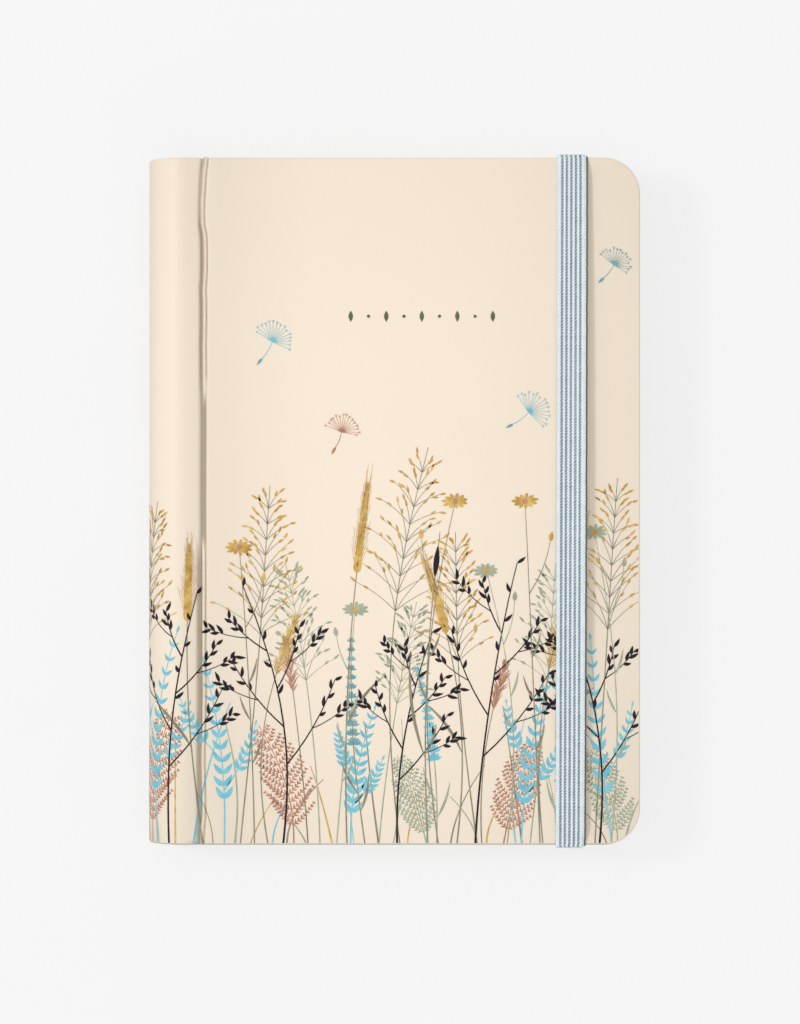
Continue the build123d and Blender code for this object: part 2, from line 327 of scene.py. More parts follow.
COVER_PAPER = painted_shading(
    paper("cover_paper", (253, 238, 218), (249, 233, 212), 0.5, 1100.0),
    (234, 220, 200),
    (158, 144, 124),
).mat
ENDPAPER = paper("endpaper", (172, 205, 209), (160, 194, 199), 0.7).mat
# The leaf edges are painted paler than the leaf faces, painted light against the shade on the page block's
# sides
LEAF_EDGE = paper("leaf_edge", (252, 249, 241), (245, 240, 229), 0.8).mat
LEAF_FACE = ruled(
    "leaf_face", (246, 241, 229), (240, 234, 220), (168, 188, 194), 9 * MM, 6 * MM
)
TAB_TINT = 1.0 * MM  # how far a tab's tint runs in under the leaves
TAB_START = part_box("leaves_" + SECTIONS[0])[1].x - TAB_TINT
TAB_CARDS = [
    card(f"divider_card_{i}", (240, 232, 215), (233, 224, 205), color, TAB_START)
    for i, color in enumerate(((160, 203, 212), (186, 192, 170), (222, 196, 150)))
]
CARD = paper("card", (238, 230, 214), (230, 221, 203), 0.65, 700.0).mat
BOARD = paper("grey_board", (150, 143, 132), (128, 121, 110), 0.9, 600.0).mat
# The elastic's third colour is a painted shadow along its right edge
ELASTIC = woven("elastic", (231, 243, 248), (116, 133, 141), (104, 94, 82))
WIRE = drawn_wire("wire", (205, 203, 198), (178, 175, 168))
INKS = {
    "blue": ink("ink_blue", (128, 203, 219), (102, 184, 206)),
    "teal": ink("ink_teal", (122, 178, 184), (92, 152, 164)),
    "plum": ink("ink_plum", (36, 24, 36), (18, 10, 18), 0.6, Specular_IOR_Level=0.25),
    "gold": ink("ink_gold", (214, 178, 98), (172, 128, 46), 0.38, Metallic=0.35),
    "sage": ink("ink_sage", (176, 184, 160), (150, 160, 134)),
    "copper": ink("ink_copper", (196, 140, 114), (168, 108, 84), 0.45),
    "stem": ink("ink_stem", (150, 146, 122), (122, 118, 96)),
    "olive": ink("ink_olive", (96, 104, 58), (78, 86, 44), 0.4),
}


# The cover sheet: one sheet from the fore-edge over the front, the crease, the round spine and the back.
# A place on it is s, measured from the front crease to the fore-edge, and y.


def sheet_frame(s):
    """Point (x, z) on the bare sheet and its outward direction."""
    if s >= -FLAT:
        return (CREASE_X + s, TOP), (0.0, 1.0)
    turn = (-FLAT - s) / RADIUS
    if turn >= math.pi:
        return (AXIS_X - FLAT - ARC - s, 0.0), (0.0, -1.0)
    out = (-math.sin(turn), math.cos(turn))
    reach = RADIUS + SPINE_BULGE * math.sin(turn) ** 2
    return (AXIS_X + reach * out[0], AXIS_Z + reach * out[1]), out


# Across the crease, in millimetres from its middle line, for its head, middle and tail: a fold of paper
# stands between two valleys near the head and the tail, and the middle is one open valley
CREASE_HEIGHTS = (
    ((-7.5, 0), (-4.5, -0.06), (-2.2, -0.22), (-1.4, -0.4), (-0.85, -1.0), (-0.55, -1.05), (-0.3, -0.5),
     (0.05, 0.02), (0.22, 0), (0.55, -0.45), (0.95, -0.1), (1.4, 0)),
    ((-7.5, 0), (-4.5, -0.06), (-2.2, -0.24), (-1.3, -0.46), (-0.4, -1.0), (0.2, -1.1), (0.7, -0.15),
     (1.0, 0)),
    ((-7.5, 0), (-4.5, -0.08), (-2.8, -0.26), (-2.1, -0.44), (-1.3, -1.0), (-0.8, -1.1), (-0.55, -0.5),
     (-0.2, 0), (0, -0.05), (0.36, -0.55), (0.75, -0.1), (1.1, 0)),
)
# Painted shade on the same lines: dark in the valleys above 0, and none on the folds, below 0
CREASE_SHADES = (
    ((-2.0, 0), (-1.3, 0.35), (-0.8, 0.7), (-0.5, 0.7), (-0.15, -0.9), (0.2, -0.9), (0.55, 0.5), (0.95, 0)),
    ((-1.9, 0), (-1.2, 0.3), (-0.4, 0.75), (0.1, 0.85), (0.35, 0.6), (0.7, -0.3), (1.0, -0.6), (1.5, 0)),
    ((-2.6, 0), (-1.9, 0.4), (-1.1, 0.85), (-0.75, 0.9), (-0.4, -0.8), (-0.05, -0.8), (0.33, 0.5),
     (0.7, -0.2), (1.0, -0.5), (1.5, 0)),
)
# How far the fold strays from its line, by the place along it
CREASE_WANDER = (
    (-89, -0.5), (-86, -0.42), (-81, 0), (-67, -0.2), (-50, 0.1), (-36, 0), (-15, 0), (0, -0.05), (20, 0),
    (34, -0.05), (40, -0.11), (47, 0), (51, -0.02), (54.5, -0.14), (58, 0.1), (61, 0.19), (65.5, 0.17),
    (67.5, 0.13), (69.6, -0.08), (71.6, -0.47), (73.7, -0.56), (77.8, -0.52), (80, -0.35), (84, -0.13),
    (86, 0.07), (88.5, 0.4)
)
# Soft swell of the spine beside the front crease, in millimetres: height, middle line and width
SWELL = (0.45, -7.8, 3.2)
# Beyond these places, in millimetres from a crease, the sheet is bare
RELIEF_ENDS = (-14, 3)
# The painted shade in the valley beside the fold fades over this stretch near the head
PALE_HEAD = (70 * MM, 77 * MM)
# Painted shade darkens the rounded edge along the tail
TAIL_SHADE = 0.85
TAIL_ROUND = (EDGE_ROUND - HEAD, 0.1 * MM - HEAD)


def crease_place(s):
    """Millimetres from the nearer crease, positive on the cover's side, and whether it is the front one."""
    front = s > BACK_CREASE / 2
    return (s if front else BACK_CREASE - s) / MM, front


def across_crease(profiles, s, y):
    """Value at a place of the head, middle and tail profiles, run into each other along the crease."""
    t, front = crease_place(s)
    if not front:
        return profile(profiles[1], t)
    v = y / MM
    near = t - profile(CREASE_WANDER, v) * (1 - smooth(0.5, 3.0, abs(t)))
    head = smooth(24, 34, v)
    tail = smooth(-8, -17, v)
    shares = (head, 1 - head - tail, tail)
    return sum(share * profile(line, near) for share, line in zip(shares, profiles) if share)


def crease_shade(s, y):
    """Painted shade of the sheet, with the valley on the spine's side paler near the head."""
    shade = across_crease(CREASE_SHADES, s, y)
    valley = shade > 0 and s < -0.3 * MM
    return shade * (1 - 0.45 * smooth(*PALE_HEAD, y)) if valley else shade


def tail_shade(y):
    return TAIL_SHADE * smooth(*TAIL_ROUND, y)


def relief(s, y):
    """Height of the real sheet over the bare one."""
    t, front = crease_place(s)
    if not RELIEF_ENDS[0] <= t <= RELIEF_ENDS[1]:
        return 0.0
    bulge = SWELL[0] * hump(t, *SWELL[1:]) if front else 0.0
    return (across_crease(CREASE_HEIGHTS, s, y) + bulge) * MM


def under(s):
    """Depth of the sheet's inner face below the bare outer face: liner, thin joint, then the board."""
    t, _ = crease_place(s)
    return profile(((-1.8, 0.75), (-1.3, 1.4), (1.44, 1.4), (1.5, EDGE / MM)), t) * MM


def off_sheet(s, y, height):
    """Point at a height over the bare sheet."""
    (x, z), (nx, nz) = sheet_frame(s)
    return (x + nx * height, y, z + nz * height)


def sheet_point(s, y, lift=0.0):
    return off_sheet(s, y, relief(s, y) + lift)


def inner_point(s, y, rise):
    return off_sheet(s, y, rise - under(s))


def placed(name, data):
    """An object of the scene with its mesh, text, light or camera."""
    obj = bpy.data.objects.new(name, data)
    bpy.context.scene.collection.objects.link(obj)
    return obj


def baked(obj):
    """An object's mesh with its text or modifiers worked out."""
    graph = bpy.context.evaluated_depsgraph_get()
    return bpy.data.meshes.new_from_object(obj.evaluated_get(graph))


def new_object(name, bm, materials, sharp=35.0):
    """A mesh object from a bmesh, with smooth faces that stay sharp at steep edges."""
    mesh = bpy.data.meshes.new(name)
    bm.to_mesh(mesh)
    bm.free()
    for mat in materials:
        mesh.materials.append(mat)
    mesh.polygons.foreach_set("use_smooth", [True] * len(mesh.polygons))
    mesh.set_sharp_from_angle(angle=math.radians(sharp))
    return placed(name, mesh)


def solid(name, bm, materials, sharp=35.0):
    """A closed mesh object with its faces turned outward."""
    bmesh.ops.recalc_face_normals(bm, faces=bm.faces)
    return new_object(name, bm, materials, sharp)


def skin(bm, rings):
    """Faces from each closed ring of points to the next."""
    pairs = zip(rings, rings[1:])
    return [bm.faces.new((a[i], a[i - 1], b[i - 1], b[i])) for a, b in pairs for i in range(len(a))]


def loft(name, loops, materials, inner_faces):
    """A closed solid through loops of points, each going out along one side and back along the other."""
    bm = bmesh.new()
    rings = [[bm.verts.new(p) for p in loop] for loop in loops]
    size = len(loops[0])
    for k, face in enumerate(skin(bm, rings)):
        if inner_faces[0] <= k % size <= inner_faces[1]:
            face.material_index = 1
    for ring in (rings[0], rings[-1]):
        for i in range(size // 2 - 1):
            bm.faces.new((ring[i], ring[i + 1], ring[size - 2 - i], ring[size - 1 - i]))
    return solid(name, bm, materials)


ROUND_STEPS = 4
# The sheet parts in the valley beside the fold, so the fold stays whole on the cover when the book opens.
# The parting has a hairline of room, and slants so that the cover's lip lies under the spine's
FRONT_PARTING = (-0.86 * MM, -0.8 * MM)
PARTING_LAP = 0.3 * MM
LAP_REACH = 1.5 * MM


def past_head(s, y):
    """How far the sheet stands out at the head: the fold a little, its valley is drawn in."""
    t, front = crease_place(s)
    out = 0.3 * hump(t, 0.25, 0.4) - 0.25 * hump(t, -0.6, 0.4)
    return out * MM * smooth(HEAD - 2 * MM, HEAD, y) if front else 0.0


def rounded(radius):
    """Steps of a rounded edge from its flat face to its side: how far in, and how far down."""
    turns = [math.pi / 2 * k / ROUND_STEPS for k in range(ROUND_STEPS + 1)]
    return [(radius * (1 - math.sin(a)), radius * (1 - math.cos(a))) for a in turns]


def sheet_loop(s, rows):
    """Loop round the sheet at s: over its outer face from tail to head, and back along its inner face."""
    radius = min(EDGE_ROUND, 0.45 * (under(s) + relief(s, HEAD)), 0.45 * (under(s) + relief(s, -HEAD)))
    ends = [(HEAD - inset, drop) for inset, drop in rounded(radius)[1:]]
    middle = [(HEAD - radius) * (2 * k / rows - 1) for k in range(rows + 1)]
    half = [(-y, drop) for y, drop in reversed(ends)] + [(y, 0.0) for y in middle] + ends
    half = [(y + past_head(s, y), drop) for y, drop in half]
    outer = [sheet_point(s, y, -drop) for y, drop in half]
    lap = PARTING_LAP * (1 - smooth(0, LAP_REACH, abs(s - FRONT_PARTING[1])))
    inner = [inner_point(s - lap, y, drop) for y, drop in reversed(half)]
    return outer + inner


def keep_painted_shade(piece, shades):
    """Keeps a painted shade on each of a piece's points, for the cover paper."""
    piece.data.attributes.new("fold", "FLOAT", "POINT").data.foreach_set("value", shades)


def sheet_piece(name, low, high, steps, rows):
    """The sheet from low to high. Its inner face takes the endpaper."""
    places = [low + (high - low) * k / steps for k in range(steps + 1)]
    loops = [sheet_loop(s, rows) for s in places]
    half = len(loops[0]) // 2
    piece = loft(name, loops, (COVER_PAPER, ENDPAPER), (half + ROUND_STEPS, 2 * half - ROUND_STEPS))
    # Painted shade of the crease valleys, and of the rounded tail edge on the outer face
    folds = []
    for s, loop in zip(places, loops):
        folds += [max(crease_shade(s, p[1]), tail_shade(p[1]) * (i < half)) for i, p in enumerate(loop)]
    keep_painted_shade(piece, folds)
    return piece


def strip_middle(k):
    """Place on the sheet at the middle of spine strip k, counted from the back."""
    if k == 1:
        return BACK_CREASE + (FLAT + ARC / STRIPS) / 2
    if k == STRIPS:
        return -(FLAT + ARC / STRIPS) / 2
    return -FLAT - ARC * (1 - (k - 0.5) / STRIPS)


PANEL_S = BOARD_X - CREASE_X + PANEL_START
# Name, stretch of the sheet, steps across and rows, then the body it rides on or the two it bends between
STRETCHES = [
    ("back_crease_paper", (BACK_CREASE - PANEL_S, BACK_CREASE), (26, 30), ("back_cover",)),
    ("spine_paper_0", (BACK_CREASE, strip_middle(1)), (44, 30), ("spine_1",)),
]
for k in range(1, STRIPS):
    span = (strip_middle(k), strip_middle(k + 1))
    STRETCHES.append((f"spine_paper_{k}", span, (30, 30), (f"spine_{k}", f"spine_{k + 1}")))
STRETCHES += [
    (f"spine_paper_{STRIPS}", (strip_middle(STRIPS), FRONT_PARTING[0]), (54, 200), (f"spine_{STRIPS}",)),
    ("front_crease_paper", (FRONT_PARTING[1], PANEL_S), (48, 200), ("front_cover",)),
]


def settle(piece, bodies, span):
    """The piece rides on its one body, or bends between its two along its stretch of the sheet."""
    if len(bodies) == 1:
        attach(piece, *bodies)
    else:
        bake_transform(piece, *bodies, start=sheet_point(span[0], 0), end=sheet_point(span[1], 0))


for name, span, (steps, rows), bodies in STRETCHES:
    piece = sheet_piece(name, *span, steps, rows)
    if name.startswith("spine_paper") and name[-1] != "0":
        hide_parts(f"spine_wrap_{name[-1]}", f"spine_liner_{name[-1]}")
    settle(piece, bodies, span)


def cover_outline(start_x, steps=18):
    """Points of a cover's edge from the tail, round the fore-edge, to the head, each with its inward way."""
    points = [((start_x, -HEAD), (0, 1))]
    for side, first in ((-1, -90), (1, 0)):
        for k in range(steps + 1):
            a = math.radians(first + 90 * k / steps)
            out = (math.cos(a), math.sin(a))
            centre = (FORE - CORNER, side * (HEAD - CORNER))
            points.append(((centre[0] + CORNER * out[0], centre[1] + CORNER * out[1]), (-out[0], -out[1])))
    points.append(((start_x, HEAD), (0, -1)))
    return points


def cover_panel(name, outer, inward):
    """A covered board with rounded edges, from the end of the crease to the fore-edge."""
    outline = cover_outline(CREASE_X + PANEL_S)
    rings = rounded(EDGE_ROUND)
    rings += [(inset, EDGE - depth) for inset, depth in reversed(rings)]
    bm = bmesh.new()
    rows = []
    for inset, depth in rings:
        z = outer + inward * depth
        rows.append([bm.verts.new((x + nx * inset, y + ny * inset, z)) for (x, y), (nx, ny) in outline])
    skin(bm, rows)
    bm.faces.new(rows[0])
    bm.faces.new(rows[-1])
    return solid(name, bm, (COVER_PAPER,))


# Elastic band: sizes from its CAD solid, and the slits in the back cover that hold it
BAND_LOW, BAND_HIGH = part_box("elastic_band")
BAND_X = (BAND_LOW.x + BAND_HIGH.x) / 2
BAND_WIDTH = BAND_HIGH.x - BAND_LOW.x
BAND_THICK = BAND_HIGH.y - HEAD
SLIT_Y = HEAD - 10 * MM
SLIT_DEPTH = 0.9 * MM
SLIT_TOP = 2.2 * MM
SLIT_ROOM = 0.35 * MM
RIB_DEPTH = 0.3 * MM
RIB_START = 0.05 * MM - BAND_WIDTH / 2
BAND_CURL = 1.7 * MM
BAND_BOW = 0.4 * MM
# Width of a ledge past the band's right side that carries its painted shadow
SHADOW_LEDGE = 0.3 * MM
BAND_STEP = 0.4 * MM
SCALLOP = 0.05 * MM


def cut_slits(panel):
    """Cuts the band's channels and slits out of the back panel."""
    bm = bmesh.new()
    half = BAND_WIDTH / 2 + SLIT_ROOM
    beyond = 2 * MM
    for side in (1, -1):
        corner = [
            (HEAD + beyond, -beyond),
            (SLIT_Y - SLIT_DEPTH, -beyond),
            (SLIT_Y - SLIT_DEPTH, SLIT_TOP),
            (SLIT_Y, SLIT_TOP),
            (SLIT_Y, SLIT_DEPTH),
            (HEAD + beyond, SLIT_DEPTH),
        ]
        ends = [[bm.verts.new((BAND_X + h, side * y, z)) for y, z in corner] for h in (-half, half)]
        skin(bm, ends)
        for end in ends:
            bm.faces.new(end)
    cutter = solid("slit_cutter", bm, ())
    modifier = panel.modifiers.new("slits", "BOOLEAN")
    modifier.object = cutter
    modifier.solver = "EXACT"
    mesh = baked(panel)
    panel.modifiers.clear()
    panel.data = mesh
    bpy.data.objects.remove(cutter)
    mesh.set_sharp_from_angle(angle=math.radians(35))


front_panel = cover_panel("front_cover_skin", TOP, -1)
# Painted shade on the panel's rounded tail edge
keep_painted_shade(front_panel, [tail_shade(v.co.y) * (v.co.z > TOP - EDGE / 2) for v in front_panel.data.vertices])
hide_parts("front_cover_wrap")
back_panel = cover_panel("back_cover_skin", 0.0, 1)
cut_slits(back_panel)
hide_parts("back_cover_wrap")
for panel, body in ((front_panel, "front_cover"), (back_panel, "back_cover")):
    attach(panel, body)


def band_path():
    """Places (y, z) along the band's inner face and its outward way, from slit to slit over the front."""
    gap = 0.06 * MM
    slit = SLIT_Y - 0.08 * MM
    low = BAND_THICK
    tip, tight, loose = 2.1 * MM, 0.25 * MM, 1.0 * MM
    half = [(slit, tip, 0), (slit, low, loose), (HEAD + gap, low, tight), (HEAD + gap, TOP + gap, tight)]
    corners = [(-y, z, radius) for y, z, radius in half] + half[::-1]
    line = []
    for i, (y, z, radius) in enumerate(corners):
        here = Vector((y, z))
        if radius == 0:
            line.append(here)
            continue
        before = (Vector(corners[i - 1][:2]) - here).normalized()
        after = (Vector(corners[i + 1][:2]) - here).normalized()
        centre = here + (before + after) * radius
        for k in range(7):
            a = math.pi / 2 * k / 6
            line.append(centre - after * radius * math.cos(a) - before * radius * math.sin(a))
    path = [line[0]]
    for a, b in zip(line, line[1:]):
        count = max(1, round((b - a).length / BAND_STEP))
        path += [a + (b - a) * k / count for k in range(1, count + 1)]
    return path


def band_section():
    """Across the band and out from its inner face: ribs on the outside, a flat inner face."""
    side = BAND_WIDTH / 2
    selvedge = BAND_THICK - RIB_DEPTH
    points = [(-side, 0.12 * MM), (-side, selvedge - 0.1 * MM)]
    for rib in range(RIBS):
        for k in range(8):
            t = k / 8
            swell = math.sin(math.pi * t) ** 0.6
            points.append((RIB_START + (rib + t) * RIB_PITCH, selvedge + RIB_DEPTH * (swell - 0.05)))
    return points + [
        (RIB_START + RIBS * RIB_PITCH, selvedge),
        (side - 0.12 * MM, selvedge - 0.1 * MM),
        (side - 0.08 * MM, selvedge - 0.25 * MM),
        # A ledge past the right side, to carry the painted shadow
        (side + SHADOW_LEDGE, selvedge - 0.3 * MM),
        (side + SHADOW_LEDGE, 0.0),
        (-side + 0.12 * MM, 0.0),
    ]


def elastic_band():
    """The ribbed band, slightly askew as it was pulled on."""
    path = band_path()
    section = band_section()
    bm = bmesh.new()
    uv = bm.loops.layers.uv.new("weave")
    rings, run = [], [0.0]
    rng = random.Random(17)
    for i, place in enumerate(path):
        ahead = path[min(i + 1, len(path) - 1)] - path[max(i - 1, 0)]
        out = Vector((-ahead.y, ahead.x)).normalized()
        lean = 0.28 * MM * place.x / HEAD - 0.1 * MM
        above = place.y > TOP
        slack = (1 - (place.x / HEAD) ** 2) * above
        curl = BAND_CURL * (0.5 + 0.5 * slack) * smooth(HEAD, HEAD - 5 * MM, abs(place.x)) * above
        scallop = SCALLOP * (-1) ** i + rng.uniform(-SCALLOP, SCALLOP)
        scallop *= smooth(HEAD, HEAD - MM, abs(place.x)) * above
        ring = []
        for x, h in section:
            edge = smooth(0.5 - 0.6 * MM / BAND_WIDTH, 0.5, abs(x) / BAND_WIDTH) * (1 if x > 0 else -0.5)
            h += BAND_BOW * slack + curl * max(x / BAND_WIDTH + 0.25, 0) ** 2 / 0.5625
            across = BAND_X + lean + x + edge * scallop
            ring.append(bm.verts.new((across, place.x + out.x * h, place.y + out.y * h)))
        rings.append(ring)
        if i:
            run.append(run[-1] + (place - path[i - 1]).length)
    size = len(section)
    for i in range(len(rings) - 1):
        for k in range(size):
            j = (k + 1) % size
            face = bm.faces.new((rings[i][k], rings[i][j], rings[i + 1][j], rings[i + 1][k]))
            for loop, (x, v) in zip(face.loops, ((k, i), (j, i), (j, i + 1), (k, i + 1))):
                loop[uv].uv = (section[x][0] - RIB_START, run[v])
    bm.faces.new(rings[0])
    bm.faces.new(rings[-1])
    return solid("elastic_band_ribbed", bm, (ELASTIC,), 60)


band = elastic_band()
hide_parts("elastic_band")
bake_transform(band, "back_cover", "closure_band", start=(BAND_X, 0, 8 * MM), end=(BAND_X, 0, TOP))


# Printed meadow: a design of generic grasses, sprigs and flowers in millimetres of s and y

THIN = 0.03
BLADE_INKS = ("stem", "sage", "gold", "blue")


class Design:
    """Flat printed shapes as strips of faces, each with its ink and a height of its own."""

    def __init__(self, seed):
        self.strips = []
        self.layer = 0
        self.rng = random.Random(seed)

    def between(self, low, high):
        return self.rng.uniform(low, high)

    def strip(self, tint, left, right, over=0):
        self.strips.append((tint, left, right, self.layer + over))

    def ribbon(self, tint, rows):
        """A strip through rows of a place, a way and half a width."""
        left = [(s - b * half, y + a * half) for (s, y), (a, b), half in rows]
        right = [(s + b * half, y - a * half) for (s, y), (a, b), half in rows]
        self.strip(tint, left, right)

    def stroke(self, tint, points, wide, narrow):
        """A line through the points that tapers from wide to narrow."""
        rows = []
        last = len(points) - 1
        for i, place in enumerate(points):
            a, b = points[max(i - 1, 0)], points[min(i + 1, last)]
            way = Vector((b[0] - a[0], b[1] - a[1])).normalized()
            rows.append((place, way, (wide + (narrow - wide) * i / last) / 2))
        self.ribbon(tint, rows)

    def shoot(self, tint, base, angle, length, curl, wide, steps=4):
        """A curved line from a base. Returns its points."""
        points = [base]
        for k in range(steps):
            a = math.radians(angle + curl * k / steps)
            s, y = points[-1]
            points.append((s + math.cos(a) * length / steps, y + math.sin(a) * length / steps))
        self.stroke(tint, points, wide, wide * 0.5)
        return points

    def leaf(self, tint, base, angle, length, width, curl=0.0, belly=0.8, steps=6):
        """A pointed leaf from its base, turning by curl along its length."""
        rows = []
        s, y = base
        for k in range(steps + 1):
            t = k / steps
            a = math.radians(angle + curl * t)
            way = (math.cos(a), math.sin(a))
            half = max(width / 2 * math.sin(math.pi * t**belly) ** 0.85, THIN)
            rows.append(((s, y), way, half))
            s += way[0] * length / steps
            y += way[1] * length / steps
        self.ribbon(tint, rows)

    def leaf_on(self, tint, line, t, turn, *shape):
        """A leaf at a share t of a line, turned from its heading."""
        base, heading = along(line, t)
        self.leaf(tint, base, heading + turn, *shape)

    def shoot_on(self, tint, line, t, turn, *shape):
        """A shoot at a share t of a line, turned from its heading. Returns its points."""
        base, heading = along(line, t)
        return self.shoot(tint, base, heading + turn, *shape)

    def disc(self, tint, centre, radius, steps=8):
        s, y = centre
        turns = [math.pi * k / steps for k in range(steps + 1)]
        rows = [(s - radius * math.cos(a), radius * max(math.sin(a), THIN)) for a in turns]
        self.strip(tint, [(s, y + h) for s, h in rows], [(s, y - h) for s, h in rows], 1)

    def stem(self, tint, s, height, lean, wide, foot=-92.0, steps=16):
        """A bowed stem from the tail edge. Returns its points."""
        bow = self.between(-0.12, 0.12) * height
        points = []
        for k in range(steps + 1):
            t = k / steps
            points.append((s + lean * t * t + bow * math.sin(math.pi * t) * 0.5, foot + height * t))
        self.stroke(tint, points, wide, wide * 0.4)
        return points


def along(points, t):
    """Point at a share t of a line of points, and its heading in degrees."""
    place = min(max(t, 0.0), 1.0) * (len(points) - 1)
    i = min(int(place), len(points) - 2)
    (a, b), (c, d) = points[i], points[i + 1]
    f = place - i
    return (a + (c - a) * f, b + (d - b) * f), math.degrees(math.atan2(d - b, c - a))


def blade(art, tint, s, height, lean):
    art.stem(tint, s, height, lean, art.between(0.3, 0.6), steps=10)


def panicle(art, tint, grain, s, height, lean, tiers=9):
    """Grass with a loose head: hair-thin branches in tiers, each with a few small grains."""
    points = art.stem(tint, s, height, lean, 0.36)
    for k in range(tiers):
        place = 0.6 + 0.38 * k / tiers
        reach = 0.15 * height * (1 - 0.72 * k / tiers)
        for side in (-1, 1):
            for spread in (20, 44):
                turn = side * (spread + art.between(-9, 9))
                line = art.shoot_on(tint, points, place, turn, reach * art.between(0.6, 1), side * 22, 0.17)
                for t in (0.7, 1.0):
                    art.leaf_on(grain, line, t, art.between(-25, 25), art.between(1.5, 2.1), 0.62, 0, 0.8, 4)


def ear(art, tint, grain, s, height, lean):
    """An ear of paired grains with long bristles."""
    points = art.stem(tint, s, height, lean, 0.4)
    for k in range(13):
        place = 0.78 + 0.017 * k
        for side in (-1, 1):
            art.leaf_on(grain, points, place, side * 24, 3.0 - 0.09 * k, 0.95, -side * 18, 0.8, 5)
            art.shoot_on(grain, points, place, side * (17 - k), art.between(6.5, 9.5), -side * 5, 0.13, 2)
    art.leaf_on(grain, points, 1, 0, 3.2, 0.9)
    side = math.copysign(1, lean)
    art.leaf_on(tint, points, 0.36, -24 * side, 17, 0.8, -30 * side)


def foxtail(art, tint, stalk, s, height, lean):
    """A soft narrow head of many short bristles."""
    points = art.stem(stalk, s, height, lean, 0.36)
    for k in range(46):
        t = k / 45
        side = 1 if k % 2 else -1
        long = 2.9 * math.sin(math.pi * (0.18 + 0.78 * t)) ** 0.6 + 0.5
        art.leaf_on(tint, points, 0.76 + 0.24 * t, side * art.between(14, 40), long, 0.36, side * 8, 0.7, 3)


def leafy(art, tint, points, pairs, long, wide, start=0.2, spread=50):
    """Leaves in pairs along a line, smaller towards its tip."""
    for k in range(pairs):
        place = start + (1 - start) * k / pairs
        size = 1.0 - 0.55 * (k / pairs) ** 1.4
        for side in (-1, 1):
            turn = side * (spread + art.between(-9, 9))
            art.leaf_on(tint, points, place, turn, long * size, wide * size, -side * 22, 0.7)
    art.leaf_on(tint, points, 1, 0, long * 0.5, wide * 0.45)


def sprig(art, tint, s, height, lean):
    """A stem with small rounded leaves in pairs, and two side shoots like it."""
    points = art.stem(tint, s, height, lean, 0.42)
    leafy(art, tint, points, 11, 3.9, 1.4, 0.3)
    for t, side in ((0.34, 1), (0.5, -1)):
        line = art.shoot_on(tint, points, t, -side * 38, 0.38 * height, side * 24, 0.3, 6)
        leafy(art, tint, line, 6, 2.9, 1.1, 0.35)


def frond(art, tint, s, height, lean):
    """A fern with leaflets that are cut again into small lobes."""
    points = art.stem(tint, s, height, lean, 0.4)
    for k in range(13):
        t = 0.24 + 0.057 * k
        reach = 0.24 * height * math.sin(math.pi * (0.2 + 0.78 * t)) ** 0.9 + 0.4
        for side in (-1, 1):
            line = art.shoot_on(tint, points, t, side * art.between(46, 60), reach, -side * 24, 0.24, 3)
            lobes = max(2, round(reach / 1.05))
            for j in range(lobes):
                size = 1.25 * (1 - 0.55 * j / lobes)
                for turn in (-44, 44):
                    art.leaf_on(tint, line, (j + 0.6) / lobes, turn, size, 0.42, 0, 0.7, 3)


def twig(art, tint, s, height, lean):
    """A forked twig with slim leaves set by turns on either side."""
    points = art.stem(tint, s, height, lean, 0.55)
    lines = [points]
    for t, side in ((0.34, 1), (0.48, -1), (0.62, 1), (0.76, -1)):
        line = art.shoot_on(tint, points, t, -side * 40, 0.42 * height * (1.2 - t), side * 20, 0.38, 6)
        lines += [line, art.shoot_on(tint, line, 0.45, -side * 34, 0.16 * height, side * 24, 0.26)]
    for line in lines:
        for k in range(5):
            side = 1 if k % 2 else -1
            turn = side * art.between(26, 52)
            art.leaf_on(tint, line, 0.6 + 0.1 * k, turn, art.between(2.0, 3.1), 0.9, -side * 20)


def flower(art, tint, heart, stalk, s, height, lean, petals=11, long=3.0, tilt=0.6):
    """A small flower of narrow petals round a button, seen a little from the side, and a bud below it."""
    points = art.stem(stalk, s, height, lean, 0.34)
    side = math.copysign(1, lean)
    bud = art.shoot_on(stalk, points, 0.74, side * 34, 0.16 * height, -side * 26, 0.24)
    art.leaf_on(tint, bud, 1, 0, 2.6, 1.2)
    centre = points[-1]
    for k in range(petals):
        a = math.radians(15 + 360 * k / petals)
        way = (math.cos(a), math.sin(a) * tilt)
        base = (centre[0] + 0.5 * way[0], centre[1] + 0.5 * way[1])
        heading = math.degrees(math.atan2(way[1], way[0]))
        art.leaf(tint, base, heading, long * math.hypot(*way) * art.between(0.85, 1.1), 0.95, 0, 1.2, 5)
    art.disc(heart, centre, 0.75)
    for t, way in ((0.3, 1), (0.44, -1), (0.56, 1)):
        art.leaf_on(stalk, points, t, -way * 30, 7, 0.6, way * 22)


def spike(art, tint, stalk, s, height, lean):
    """A slender spike of small buds in rings with gaps between them."""
    points = art.stem(stalk, s, height, lean, 0.36)
    for k in range(12):
        place = 0.5 + 0.5 * k / 12
        size = 1.0 - 0.5 * k / 12
        for turn in (-74, -44, -18, 18, 44, 74):
            art.leaf_on(tint, points, place, turn + art.between(-7, 7), 2.1 * size, 0.85 * size, 0, 0.9, 4)
    for t, side in ((0.2, 1), (0.28, -1)):
        art.leaf_on(stalk, points, t, -side * 30, 10, 0.7, side * 24)


def reed(art, tint, stalk, s, height, lean):
    """A rush with a slim dark head and a bristle above it."""
    points = art.stem(stalk, s, height, lean, 0.4)
    art.leaf_on(tint, points, 0.86, 0, height * 0.1, 1.5, 0, 0.95, 8)
    art.leaf_on(stalk, points, 0.3, 18, 0.34 * height, 0.8, -26)


